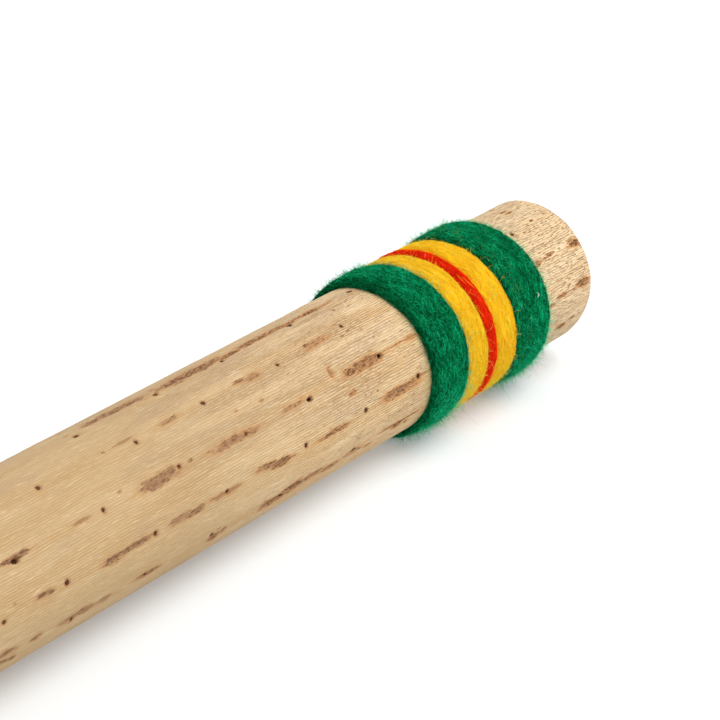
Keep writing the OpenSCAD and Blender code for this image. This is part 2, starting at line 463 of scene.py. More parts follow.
THORN_SPACING = 5 * MM
Thorn = namedtuple("Thorn", "x angle aside sunk")
Mark = namedtuple("Mark", "x angle half_length half_width dark")


def thorn_rows():
    """The angle of each CAD row of thorns, and where along the stick its thorns are."""
    rows = []
    for number in range(1, THORN_ROWS + 1):
        points = node_points(f"thorn_row_{number}")
        heads = points[np.hypot(points[:, 1], points[:, 2] - AXIS_Z) > TUBE_R - 1 * MM]
        angle = math.atan2(heads[:, 2].mean() - AXIS_Z, heads[:, 1].mean()) % TURN
        x = np.sort(heads[:, 0])
        gaps = np.flatnonzero(np.diff(x) > THORN_SPACING) + 1
        rows.append((angle, [group.mean() for group in np.split(x, gaps)]))
    return rows


# Thorn heads of the side that faces the viewer, by row: distance from the right end and from the row's line,
# and how deep the head has sunk, in mm.
SEEN_THORNS = {
    3: [(94, -1.3, 0)],
    4: [(24, -1.8, 0), (113, -1.7, 0), (144, -0.3, 0), (176, -0.7, 0), (240, -2.0, 0.2)],
    5: [(108, -0.5, 1.6), (142, 1.0, 1.8), (220, -0.1, 0)],
    6: [(95, -1.5, 0), (121, -0.4, 0), (149, -0.1, 0), (213, 0.1, 0.2), (247, -0.6, 0)],
}
# Scars of that side, by row: where each starts and stops, as distances from the right end, how far it is
# from the row's line, half its width, all in mm, and how dark it is.
SEEN_SCARS = {
    3: [(12, 15, 1.5, 0.45, 0.7), (12, 15, -0.5, 0.45, 0.7), (10, 12.5, -7, 0.4, 0.8),
        (103, 110, -1.2, 0.5, 0.5), (110, 119, -1.2, 0.8, 1), (121, 128, -1.1, 0.8, 0.8),
        (128, 147, -1.6, 1, 0.85), (147, 155, -0.9, 1, 1), (155, 180, -2.2, 1.6, 1),
        (186, 203, -3.2, 1.4, 0.8), (203, 209, -3.4, 1.2, 0.8)],
    4: [(11, 12.3, -3.2, 0.45, 0.9), (122, 130, -0.8, 1.1, 0.45), (129, 131, -1.7, 0.5, 0.9),
        (152, 158, -0.7, 1, 0.45), (158, 162, -1.6, 0.6, 0.9), (187, 194, -1, 0.6, 0.6),
        (204, 210, -2, 0.4, 0.4)],
    5: [(0, 6, -1.7, 1, 0.9), (15, 18, -2.2, 0.5, 0.8), (18, 21, -1.8, 0.3, 0.6),
        (23, 26, -1.3, 0.7, 0.8), (90, 95, -0.8, 0.7, 0.6), (94, 105, -1, 0.25, 0.6),
        (110, 121, -0.5, 1.15, 0.75), (120, 125, -0.3, 0.9, 0.95), (144, 154, 0.2, 0.5, 0.6),
        (167, 183, 0.4, 1, 0.65), (199, 213, -0.1, 1.5, 0.75), (192, 194, -0.6, 0.4, 0.8),
        (233, 238, -0.7, 0.5, 0.5), (255, 266, -0.8, 0.7, 0.95)],
    6: [(3, 8, -1.2, 1, 0.95), (8, 17, -0.7, 0.2, 0.5), (16, 20, -0.6, 0.5, 0.8),
        (22, 25, 0.9, 0.6, 0.7), (90, 98, -1.5, 0.3, 0.6), (98, 111, -0.4, 1.2, 0.75),
        (107, 111, -0.5, 0.8, 0.95), (129, 142, 0.7, 0.5, 0.85), (133, 137, -0.1, 0.4, 0.6),
        (156, 164, 0.6, 0.9, 1), (164, 171, -0.7, 0.8, 0.9), (179, 191, 0.1, 0.7, 0.6),
        (194, 200, 0.3, 0.9, 0.9), (199, 207, -0.2, 0.9, 0.6), (216, 228, 0, 0.7, 0.9),
        (226, 233, 0.2, 1, 0.95), (252, 258, -0.9, 0.8, 0.9)],
    7: [(9, 11, -2.2, 0.4, 0.7), (14, 19, -1.2, 0.8, 0.9), (94, 113, -1.2, 0.4, 0.8),
        (102, 106, -0.6, 1, 0.8), (116, 119, 1.5, 0.5, 0.6), (121, 129, 0, 0.7, 0.4),
        (133, 139, 0.8, 0.8, 0.7), (142, 150, -0.5, 0.9, 0.65), (150, 158, -0.7, 1.2, 1),
        (158, 167, 0.5, 1.2, 1), (183, 185, 0.5, 1, 0.7), (186, 190, 1.2, 1.2, 0.9),
        (211, 220, -0.6, 0.8, 0.8), (231, 235, -0.5, 0.8, 0.4), (237, 248, -0.9, 1, 0.65),
        (256, 260, -1.5, 0.8, 0.65), (266, 271, -2.2, 0.9, 0.8)],
}
# Two scars that lie between the rows: distance from the right end and from row 5's line, half their length
# and width, and how dark they are.
LONE_SCARS = [(125, 5.7, 1.3, 0.5, 0.8), (129.6, -3, 0.8, 1.6, 0.6)]
SEEN_REACH = 270 * MM
UNSCARRED_SHARE = 0.2
FLECKS = 70


def is_seen(number, x):
    return number in SEEN_SCARS and END_X - x < SEEN_REACH


def grown_thorns(rows):
    """Every thorn: on its CAD row, but a little off the even spacing, and with its head pushed aside."""
    random = np.random.default_rng(5)
    thorns = []
    for number, (angle, places) in enumerate(rows, 1):
        row = []
        for x in places:
            shift, aside = random.uniform(-2.5, 2.5) * MM, random.uniform(-0.7, 0.7) * MM
            sunk = random.choice([0, 0.1, 0.25, 1.4], p=[0.4, 0.3, 0.2, 0.1]) * MM
            seen = [t for t in SEEN_THORNS.get(number, []) if abs(END_X - t[0] * MM - x) < 6 * MM]
            if seen:
                shift, aside, sunk = END_X - seen[0][0] * MM - x, seen[0][1] * MM, seen[0][2] * MM
            row.append(Thorn(x + shift, angle, aside, sunk))
        thorns.append(row)
    return thorns


def mark(x, angle, aside, half_length, half_width, dark):
    """A scar beside an angle around the stick. How far beside, and half its length and width, are in mm."""
    return Mark(x, angle + aside * MM / TUBE_R, half_length * MM, half_width * MM, dark)


def scar_marks(rows):
    """The scars on the wood: those of the seen side as listed, and the rest at random in the same manner."""
    random = np.random.default_rng(11)
    marks = []
    for number, (angle, places) in enumerate(rows, 1):
        for start, stop, aside, half_width, dark in SEEN_SCARS.get(number, []):
            x = END_X - (start + stop) / 2 * MM
            marks.append(mark(x, angle, aside, (stop - start) / 2, half_width, dark))
        for x in places:
            if is_seen(number, x) or random.random() < UNSCARRED_SHARE:
                continue
            reach = random.choice([6, 12, 20, 28], p=[0.3, 0.35, 0.25, 0.1])
            way = random.choice([-1, 1])
            for _ in range(2 + int(reach / 7)):
                place = x + way * random.uniform(0.05, 1.0) * reach * MM
                aside = random.normal(0, 0.4) + 1.1 * math.sin(place / (55 * MM) + number * 2.1)
                marks.append(mark(place, angle, aside, random.uniform(1.0, 4.2), random.uniform(0.4, 1.25),
                                  random.uniform(0.45, 1.0)))
    marks += [mark(END_X - distance * MM, rows[4][0], *rest) for distance, *rest in LONE_SCARS]
    for _ in range(FLECKS):
        marks.append(mark(random.uniform(-1, 1) * END_X * 0.98, random.uniform(0, TURN), 0,
                          random.uniform(0.4, 1.1), random.uniform(0.22, 0.45), random.uniform(0.4, 0.8)))
    return marks


def arc_between(first, second):
    """The way around the tube's surface from one angle to another."""
    return (np.mod(first - second + math.pi, TURN) - math.pi) * TUBE_R


def near_marks(x, angle, marks, heads, margin_x, margin_arc):
    """Which points lie on a scar or a thorn's head, or within a margin of one."""
    near = np.zeros(len(x), bool)
    holes = [Mark(head.x, head.angle + head.aside / TUBE_R, HEAD_R, HEAD_R, 1) for head in heads]
    for spot in marks + holes:
        near |= ((np.abs(x - spot.x) < spot.half_length + margin_x)
                 & (np.abs(arc_between(angle, spot.angle)) < spot.half_width + margin_arc))
    return near


FIELD_REACH = 2.2
HEAD_R = 0.72 * MM


def mark_fields(x, angle, marks, heads):
    """At each point: how far into a scar it is, how dark that scar is, its depth or lip, how far into a
    thorn's hole it is, and how deep that thorn has sunk."""
    scar, tone, relief, hole, sunk = (np.zeros(len(x)) for _ in range(5))
    place = around_axis(x, angle, TUBE_R)
    warp = 1 + 0.3 * soft_noise(place, (3.5, 0.9, 0.9), 31) + 0.15 * soft_noise(place, (1.2, 0.5, 0.5), 32)
    lip = 0.5 + 0.5 * soft_noise(place, (2, 0.8, 0.8), 33)
    for spot in marks:
        near = np.flatnonzero(np.abs(x - spot.x) < FIELD_REACH * spot.half_length)
        across = arc_between(angle[near], spot.angle)
        far = np.sqrt(np.abs((x[near] - spot.x) / spot.half_length) ** 2.4 + (across / spot.half_width) ** 2)
        far *= warp[near]
        field = np.clip(1 - far / FIELD_REACH, 0, 1)
        pit = -0.42 * spot.half_width * spot.dark * (1 - ease(far, 0.35, 1.15))
        pit += 0.07 * MM * np.exp(-((far - 1.35) / 0.22) ** 2) * lip[near]
        deeper = np.abs(pit) > np.abs(relief[near])
        relief[near[deeper]] = pit[deeper]
        better = field > scar[near]
        scar[near[better]], tone[near[better]] = field[better], spot.dark
    for head in heads:
        near = np.flatnonzero(np.abs(x - head.x) < 3 * MM)
        far = np.hypot(x[near] - head.x, arc_between(angle[near], head.angle) - head.aside) * warp[near]
        field = np.clip(1 - far / (FIELD_REACH * HEAD_R), 0, 1)
        better = field > hole[near]
        hole[near[better]], sunk[near[better]] = field[better], head.sunk
    return scar, tone, relief, hole, sunk


# ---------------- the tube

CELLS_ALONG = 150
CELLS_AROUND = 150
FINER = 4
ROUNDING = 0.5 * MM


def fine_grid(refined):
    """Corners and faces of a grid that wraps around, where the refined cells are cut FINER by FINER."""
    along, around = refined.shape
    wide = around * FINER
    used = np.zeros((along * FINER + 1, wide), bool)
    used[::FINER, ::FINER] = True
    for i, j in np.argwhere(refined):
        columns = np.arange(j * FINER, j * FINER + FINER + 1) % wide
        used[np.ix_(np.arange(i * FINER, i * FINER + FINER + 1), columns)] = True
    corners = np.argwhere(used)
    index = -np.ones(used.shape, np.int64)
    index[used] = np.arange(len(corners))
    steps = range(FINER)
    border = [(k, 0) for k in steps] + [(FINER, k) for k in steps]
    border += [(FINER - a, FINER - b) for a, b in border]
    small = [[(a, b), (a + 1, b), (a + 1, b + 1), (a, b + 1)] for a in steps for b in steps]
    faces = []
    for i, j in np.ndindex(along, around):
        for outline in small if refined[i, j] else [border]:
            face = [int(index[i * FINER + a, (j * FINER + b) % wide]) for a, b in outline]
            faces.append([corner for corner in face if corner >= 0])
    return corners, faces


def worn_end(angle):
    """How far the saw cut and wear fall short of the full length, at each angle."""
    degrees = np.degrees(angle)
    nick = 0.6 * ease(degrees, 170, 174)
    slope = 2.2 * ease(degrees, 174, 222)
    ripple = 0.12 * np.sin(degrees / 11) + 0.1 * np.sin(degrees / 4.3 + 1)
    return ((nick + slope) * (1 - ease(degrees, 232, 262)) + 0.12 + ripple) * MM


def tube_profile():
    """Rings of the sawn ends, the glue's bevels and the bore: x, radius, and how much of it is sawn."""
    sawn = [(END_X - 0.12 * MM, TUBE_R - 0.26 * MM, 0.6), (END_X, TUBE_R - 0.65 * MM, 1)]
    sawn += [(END_X, r, 1) for r in np.linspace(TUBE_R - 1.1 * MM, BEAD_R, 7)]
    sawn += [(END_X - BEAD_DEPTH, BORE_R, 1)]
    bore = [(x, BORE_R, 0) for x in np.linspace(PLUG_X, -PLUG_X, 40)]
    return sawn + bore + [(-x, r, cut) for x, r, cut in reversed(sawn)]


def tube_skin(marks, heads):
    """The tube's outside: grid corners, faces, points, numbers for the material, and where it lies flat."""
    cell_x = (np.arange(CELLS_ALONG) + 0.5) / CELLS_ALONG * 2 * END_X - END_X
    cell_angle = (np.arange(CELLS_AROUND) + 0.5) / CELLS_AROUND * TURN
    grid_x, grid_angle = (part.ravel() for part in np.meshgrid(cell_x, cell_angle, indexing="ij"))
    margins = END_X / CELLS_ALONG + 0.4 * MM, TURN * TUBE_R / CELLS_AROUND / 2 + 0.3 * MM
    refined = near_marks(grid_x, grid_angle, marks, heads, *margins)
    corners, faces = fine_grid(refined.reshape(CELLS_ALONG, CELLS_AROUND))

    x = (corners[:, 0] / (CELLS_ALONG * FINER) * 2 - 1) * (END_X - ROUNDING)
    angle = corners[:, 1] / (CELLS_AROUND * FINER) * TURN
    scar, tone, relief, hole, sunk = mark_fields(x, angle, marks, heads)
    place = around_axis(x, angle, TUBE_R)
    radius = TUBE_R - 0.07 * MM + 0.10 * MM * soft_noise(place, (70, 20, 20), 1) + relief
    radius += 0.05 * MM * soft_noise(place, (15, 4, 4), 2) + 0.02 * MM * soft_noise(place, (6, 1.5, 1.5), 3)
    radius += 0.5 * relief * soft_noise(place, (1.1, 0.5, 0.5), 4)
    radius -= (0.22 * MM + sunk) * ease(hole, 0.45, 0.60)
    worn = np.sign(x) * worn_end(angle) * ease(np.abs(x), END_X - 3.6 * MM, END_X - ROUNDING)
    # A green tint on the wood within a few mm of the inner edge of each wrap
    wool_side_tint = ease(x, WRAP_NEAR - 3.5 * MM, WRAP_NEAR) * (x < WRAP_NEAR + 3 * MM)
    wool_side_tint += ease(-x, -WRAP_FAR - 3 * MM, -WRAP_FAR) * (x > WRAP_FAR - 3 * MM)
    numbers = {"scar": scar, "tone": tone, "hole": hole, "wool_side_tint": wool_side_tint, "sawn": np.zeros(len(x))}
    flat = on_sheet((x / END_X + 1) / 2, angle / TURN, 0, 0.86)
    return corners, faces, around_axis(x - worn, angle, radius), numbers, flat


def tube_ring(x, angle, r, cut):
    """One ring of the profile: worn and uneven where it is sawn, rough inside the bore."""
    ring = around_axis(x, angle, r)
    if not cut:
        rough = 0.3 * MM * (1 + soft_noise(ring, (20, 4, 4), 9)) * (abs(x) < PLUG_X)
        return around_axis(x, angle, r + rough)
    side = np.sign(x)
    ring[:, 0] -= side * worn_end(angle) * ease(r, TUBE_R - 3 * MM, TUBE_R)
    ring[:, 0] -= side * 0.07 * MM * (1 + soft_noise(ring, (99, 0.7, 0.7), 8)) * (r > BEAD_R)
    return ring


def tube_piece(material, marks, heads):
    """The tube: its skin, closed by rings that run over the sawn ends and through the bore."""
    corners, faces, skin, numbers, skin_flat = tube_skin(marks, heads)
    points, flat = [skin], [skin_flat]
    angle = turns(CELLS_AROUND)
    profile = tube_profile()
    for count, (x, r, cut) in enumerate(profile):
        points.append(tube_ring(x, angle, r, cut))
        flat.append(on_sheet(count / len(profile), angle / TURN, 0.88, 0.12))
    for key in numbers:
        cuts = [cut if key == "sawn" else 0.0 for _, _, cut in profile]
        numbers[key] = np.append(numbers[key], np.repeat(cuts, CELLS_AROUND))
    whole = corners[:, 1] % FINER == 0
    rims = [np.flatnonzero(whole & (corners[:, 0] == i)) for i in (CELLS_ALONG * FINER, 0)]
    inner = len(skin) + np.arange(len(profile) * CELLS_AROUND).reshape(-1, CELLS_AROUND)
    rings = np.vstack([rims[0], inner, rims[1]])
    near, far = rings[:-1], rings[1:]
    walls = np.stack([near, far, np.roll(far, -1, axis=1), np.roll(near, -1, axis=1)], axis=-1)
    faces += walls.reshape(-1, 4).tolist()
    make_piece("tube_of_cactus_wood", np.concatenate(points), [face[::-1] for face in faces], material,
               "stick", ["cactus_tube"], numbers, np.concatenate(flat))


# ---------------- plugs, glue, thorns and stones

PLUG_CRACKS = 5


def plug_piece(end, side, material):
    """A sawn wooden disc, with a few drying cracks that run in from its rim."""
    random = np.random.default_rng(20 + side)
    around = 144
    angle = turns(around)
    cracks = [random.uniform((0, 0.35, 0.25), (TURN, 0.85, 0.5)) for _ in range(PLUG_CRACKS)]
    centre, lip = 0.3 * MM, 0.02 * MM
    outline = [(PLUG_X, r) for r in np.linspace(centre, BORE_R - 0.3 * MM, 6)]
    outline += [(PLUG_X + 0.3 * MM, BORE_R - lip), (END_X - 0.35 * MM, BORE_R - lip)]
    outline += [(END_X - 0.1 * MM, BORE_R - 10 * lip)]
    outline += [(END_X - 0.05 * MM, r) for r in np.linspace(BORE_R - 0.6 * MM, centre, 40)]
    points, crack_number = [], []
    for x, r in outline:
        ring = around_axis(x, angle, r)
        cut = np.zeros(around)
        if x > END_X - 0.2 * MM:
            for middle, inward, width in cracks:
                bend = middle + 0.012 * math.sin(r / MM * 0.9)
                off = np.abs((angle - bend + math.pi) % TURN - math.pi) * r
                shape = 1 - ease(off, 0.08 * MM, (0.15 + width * r / BORE_R) * MM)
                cut = np.maximum(cut, shape * ease(r / BORE_R, inward, 1.0))
            ring[:, 0] -= 0.05 * MM * (1 + soft_noise(ring, (99, 0.9, 0.9), 6)) + 0.8 * MM * cut
        points.append(ring)
        crack_number.append(cut)
    points = np.concatenate(points)
    faces = ring_faces(len(outline), around)
    faces += [list(range(around))[::-1], [len(points) - around + j for j in range(around)]]
    points[:, 0] *= side
    faces = [face[::side] for face in faces]
    make_piece(f"plug_{end}", points, faces, material, "stick", [f"end_plug_{end}"],
               {"crack": np.concatenate(crack_number)})


def bead_piece(end, side, material):
    """The glue bead, a lumpy ring that fills the bevel around a plug."""
    around, across = 240, 8
    angle = turns(around)
    gap = 0.05 * MM
    corners = [(END_X - BEAD_DEPTH + 2 * gap, BORE_R + gap), (END_X - gap, BEAD_R - gap)]
    corners += [(END_X, BEAD_R - gap - t * (BEAD_R - BORE_R)) for t in np.linspace(0.05, 0.95, across)]
    corners += [(END_X - 2 * gap, BORE_R + gap / 4)]
    points = []
    for k, (x, r) in enumerate(corners):
        ring = around_axis(x, angle, r)
        if 2 <= k < 2 + across:
            crown = math.sin((k - 1.5) / across * math.pi)
            ring[:, 0] += 0.18 * MM * crown * (0.4 + soft_noise(ring, (99, 1.8, 1.8), 12))
        points.append(ring)
    points = np.concatenate(points)
    points[:, 0] *= side
    faces = [face[::-side] for face in ring_faces(len(corners), around, closed=True)]
    make_piece(f"bead_{end}", points, faces, material, "stick", [f"glue_bead_{end}"])


# A thorn's distance out from the axis of the stick and its radius there, in mm
THORN_OUTLINE = [(-16.5, 0.06), (-15.5, 0.25), (-12, 0.38), (-4, 0.46), (6, 0.52), (14, 0.56), (19, 0.58),
                 (21.5, 0.60), (23.2, 0.62), (24.3, 0.60), (24.7, 0.48), (24.8, 0.2)]


def thorn_piece(number, thorns, material):
    """A row of thorns: each is thick and broken off at its head, and tapers to a point past the axis."""
    random = np.random.default_rng(60 + number)
    sides = 10
    turn = turns(sides)
    points, faces = [], []
    for thorn in thorns:
        first = len(points) * sides
        bow = random.uniform(-0.25, 0.25)
        for out, thick in THORN_OUTLINE:
            sideways = thorn.aside * ease(out, 17, 24)
            lift = out * MM - thorn.sunk * ease(out, 10, 24)
            ring = np.stack([bow * MM * (1 - (out / 20) ** 2) + thick * MM * np.cos(turn),
                             sideways + thick * MM * np.sin(turn), np.full(sides, lift)], axis=1)
            if out > 24.5:
                ring[:, 2] += random.uniform(-0.10, 0.06, sides) * MM
            ring[:, 0] += thorn.x
            points.append(ring)
        faces += [[first + k for k in face] for face in ring_faces(len(THORN_OUTLINE), sides)]
        last = first + (len(THORN_OUTLINE) - 1) * sides
        faces += [[first + j for j in range(sides)][::-1], [last + j for j in range(sides)]]
    up, across = math.sin(thorns[0].angle), math.cos(thorns[0].angle)
    placed = np.concatenate(points) @ np.array([[1, 0, 0], [0, -up, across], [0, across, up]])
    placed[:, 2] += AXIS_Z
    make_piece(f"thorns_{number}", placed, [face[::-1] for face in faces], material, "stick",
               [f"thorn_row_{number}"])


def linked_groups(mesh):
    """The middle and radius of each separate lump of a mesh."""
    work = bmesh.new()
    work.from_mesh(mesh)
    bmesh.ops.remove_doubles(work, verts=work.verts, dist=1e-6)
    seen, lumps = set(), []
    for start in work.verts:
        if start in seen:
            continue
        seen.add(start)
        queue, group = [start], []
        while queue:
            corner = queue.pop()
            group.append(corner.co[:])
            linked = [edge.other_vert(corner) for edge in corner.link_edges]
            fresh = [other for other in linked if other not in seen]
            seen.update(fresh)
            queue += fresh
        low, high = np.min(group, axis=0), np.max(group, axis=0)
        lumps.append(((low + high) / 2, (high - low).mean() / 2))
    work.free()
    return sorted(lumps, key=lambda lump: lump[0][0])


def stone_piece(number, material):
    """A row of stones: each is a worn, uneven lump inside the CAD sphere that it stands for."""
    random = np.random.default_rng(90 + number)
    ball = bmesh.new()
    bmesh.ops.create_icosphere(ball, subdivisions=3, radius=1)
    shape = np.array([corner.co[:] for corner in ball.verts])
    ball_faces = [[corner.index for corner in face.verts] for face in ball.faces]
    ball.free()
    points, faces, kinds = [], [], []
    for count, (middle, radius) in enumerate(linked_groups(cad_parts[f"stone_row_{number}"].data)):
        squeeze = random.uniform((0.9, 0.72, 0.72), 1.0)
        turned = random.uniform(0, TURN)
        spin = np.array(Matrix.Rotation(turned, 3, Vector(random.normal(size=3)).normalized()))
        lumps = 0.07 * (1 + soft_noise(shape, 700, 100 + count))
        lumps += 0.02 * (1 + soft_noise(shape, 300, 300 + count))
        points.append(middle + (shape * (1 - lumps)[:, None] * squeeze) @ spin.T * radius)
        faces += [[k + count * len(shape) for k in face] for face in ball_faces]
        kinds.append(np.full(len(shape), random.random()))
    row = f"stone_row_{number}"
    make_piece(f"stones_{number}", np.concatenate(points), faces, material, row, [row],
               {"kind": np.concatenate(kinds)})


# ---------------- wool

# How a wool is laid: how blunt its edges are, how far it stands off its CAD height, the fibres that lie on
# 10 mm of it, how they slant and curl (radians) and their thickness, its nap and its hairs (how many on
# 10 mm, and how long), and the share of hairs at its edge beside the bare end. Lengths are in mm.
Lay = namedtuple("Lay", "foot loft lying slant curl thick nap nap_length hairs hair_length fringe")
GREEN_LAY = Lay(foot=0.32, loft=0, lying=2600, slant=0.36, curl=1.8, thick=(0.05, 0.13),
                nap=5600, nap_length=1.3, hairs=4800, hair_length=2.1, fringe=0.25)
YELLOW_LAY = Lay(foot=0.5, loft=0.35, lying=2400, slant=0.26, curl=1.2, thick=(0.04, 0.09),
                 nap=4200, nap_length=0.8, hairs=1100, hair_length=1.6, fringe=0)
RED_LAY = YELLOW_LAY._replace(nap=5200, hairs=600, hair_length=1.3)
NAP_THICK, NAP_SHADES = (0.030, 0.060), (0.15, 1.0)
# Hair numbers run up to 1.5, into the wool's painted glow of light through thin hairs
HAIR_THICK, HAIR_SHADES_AND_GLOW = (0.015, 0.030), (0.8, 1.5)
CORE_SHADE = 0.12

# How the six edges of a wrap stray from a straight winding, from the middle of the stick to its end, in mm.
Edge = namedtuple("Edge", "drift lean flare")
EDGES = [Edge(-0.35, 0, 2.1), Edge(0.45, 1.1, 0), Edge(-0.45, 1.8, 0),
         Edge(-0.75, 1.2, 0), Edge(-0.3, 1.9, 0), Edge(0.6, 1.1, 0)]
FLARE_ANGLE = math.radians(75)
LEAN_ANGLE = math.radians(229)
# Where the weight of the stick squeezes the hairs out
UNDER_ANGLE = math.radians(-42)
SQUEEZED_SHARE = 0.36
STRAY_SHARE = 0.10


class Band:
    """One band of wool: the outline of its section, and points on it. Its edges are the one nearer the
    middle of the stick and the one nearer its end."""

    def __init__(self, node, lay, seed, edges):
        low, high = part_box(node)
        self.edges, self.side = edges, math.copysign(1, low.x)
        self.middle, self.half, self.seed = (low.x + high.x) / 2, (high.x - low.x) / 2, seed
        self.height = (high.y - low.y) / 2 - TUBE_R + lay.loft * MM
        turn = np.linspace(math.pi + 0.3, -0.3, 300)
        over = self.half * np.sign(np.cos(turn)) * np.abs(np.cos(turn)) ** 0.85
        up = self.height * (lay.foot + (1 - lay.foot) * np.sign(np.sin(turn)) * np.abs(np.sin(turn)) ** 0.8)
        run = np.concatenate([[0], np.cumsum(np.hypot(np.diff(over), np.diff(up)))])
        self.length, self.share = run[-1], run / run[-1]
        slope = np.stack([-np.gradient(up, run), np.gradient(over, run)])
        self.over, self.up, self.slope = over, up, slope / np.linalg.norm(slope, axis=0)

    def place(self, share, angle, lift):
        """Points a share of the way over the outline, at an angle around the stick, lifted off the felt."""
        outline = self.over, self.up, *self.slope
        over, up, lean, rise = (np.interp(share, self.share, part) for part in outline)
        spot = around_axis(self.middle + over, angle, TUBE_R).reshape(-1, 3)
        lumps = 0.11 * soft_noise(spot, 9, self.seed) + 0.07 * soft_noise(spot, 3, self.seed + 1)
        lumps += 0.06 * soft_noise(spot, (1.3, 12, 12), self.seed + 2)
        points = around_axis(self.middle + over + lean * lift, angle,
                             TUBE_R + up * (1 + lumps.reshape(np.shape(over))) + rise * lift)
        points[..., 0] += 0.25 * MM * soft_noise(spot, 7, self.seed + 3).reshape(np.shape(over))
        points[..., 0] += self.side * self.stray(share if self.side > 0 else 1 - share, angle)
        return points

    def stray(self, across, angle):
        """How far the hand-wound wool strays toward the end of the stick, from one edge to the other."""
        lean, flare = np.cos(angle - LEAN_ANGLE), np.maximum(np.cos(angle - FLARE_ANGLE), 0) ** 2
        first, second = (edge.drift + edge.lean * lean - edge.flare * flare for edge in self.edges)
        return (first + (second - first) * across) * MM


def above_floor(points, gap=0.0):
    """The wool that the stick lies on is pressed flat."""
    points[..., 2] = np.maximum(points[..., 2], gap)
    return points


def felt_core(band):
    """The closed ring of felt under the fibres: its points, faces, and where they go when laid flat."""
    around, across = 360, 24
    angle = turns(around)
    share = np.linspace(0, 1, across)
    rings = [band.place(np.full(around, part), angle, -0.06 * MM) for part in share]
    rings += [around_axis(band.middle + band.over[k], angle, TUBE_R - 0.3 * MM) for k in (-1, 0)]
    flat = on_sheet(np.append(share, [1, 0])[:, None] * np.ones(around), angle / TURN, 0, 0.48)
    return above_floor(np.concatenate(rings)), ring_faces(len(rings), around, closed=True), flat


def lying_fibres(band, random, count, lay, steps=6):
    """Paths of fibres that lie on the felt, mostly along the winding, and curl over one another."""
    share, angle = random.uniform(0.02, 0.98, count), random.uniform(0, TURN, count)
    heading = random.normal(0, lay.slant, count) + math.pi * random.integers(0, 2, count)
    curl, phase = random.normal(0, lay.curl, count), random.uniform(0, TURN, count)
    long = random.uniform(2.5, 7, count) * MM / (steps - 1)
    low, arch = random.uniform(-0.08, 0.10, count) * MM, random.uniform(0, 0.30, count) * MM
    path = []
    for t in np.linspace(0, 1, steps):
        path.append(band.place(share, angle, low + arch * math.sin(math.pi * t)))
        turned = heading + curl * (t - 0.5) + lay.slant * np.sin(phase + 6 * t)
        angle = angle + np.cos(turned) * long / TUBE_R
        share = np.clip(share + np.sin(turned) * long / band.length, 0, 1)
    return np.stack(path, axis=1)


def outward(band, share, angle):
    """The direction straight off the felt at each point."""
    return unit(band.place(share, angle, 1 * MM) - band.place(share, angle, 0))


def nap_fibres(band, random, count, lay, steps=3):
    """Paths of short fibres that lean along the winding and cover the felt like the nap of a blanket."""
    share, angle = random.uniform(0.0, 1.0, count), random.uniform(0, TURN, count)
    out = outward(band, share, angle)
    along = np.stack([np.zeros(count), -np.sin(angle), np.cos(angle)], axis=1)
    along *= random.choice([-1, 1], (count, 1))
    way = along * random.uniform(0.0, 1.0, (count, 1)) + out * random.uniform(0.45, 1.2, (count, 1))
    way = unit(way + random.normal(0, 0.30, (count, 3)))
    long = random.gamma(6, lay.nap_length / 6, (count, 1)) * MM
    root = band.place(share, angle, -0.05 * MM)
    bend = random.normal(0, 0.25, (count, 3)) - 0.25 * out
    return np.stack([root + (way * t + bend * t * t) * long for t in np.linspace(0, 1, steps)], axis=1)


def long_hairs(band, random, count, lay, steps=4):
    """Paths of the fine hairs that stray far off the felt, most of all where the stick's weight squeezes it
    out and at the fringe beside the bare end."""
    share, angle = random.uniform(0.0, 1.0, count), random.uniform(0, TURN, count)
    edge = 0.5 + 0.5 * band.side * random.uniform(0.8, 1.0, count)
    fringe = random.random(count) < lay.fringe * (band.edges[1] is EDGES[-1])
    share = np.where(fringe, edge, share)
    squeezed = random.choice([UNDER_ANGLE, math.pi - UNDER_ANGLE], count) + random.normal(0, 0.35, count)
    angle = np.where(random.random(count) < SQUEEZED_SHARE, squeezed, angle)
    out = outward(band, share, angle)
    way = random.normal(size=(count, 3)) * [0.5, 1.0, 1.0] + out
    way[:, 0] += 0.4 * band.side * fringe
    way = unit(way)
    long = random.gamma(3.2, lay.hair_length / 3.2, (count, 1)) * MM * np.where(fringe, 0.55, 1.0)[:, None]
    phase, wave = random.uniform(0, TURN, (count, 3)), random.uniform(2, 6, (count, 1))
    root = band.place(share, angle, -0.05 * MM)
    path = []
    for t in np.linspace(0, 1, steps):
        curl = np.sin(phase + wave * t) - np.sin(phase)
        path.append(root + ((way + 0.25 * out) * t - 0.35 * out * t * t + 0.20 * curl) * long)
    return np.stack(path, axis=1)


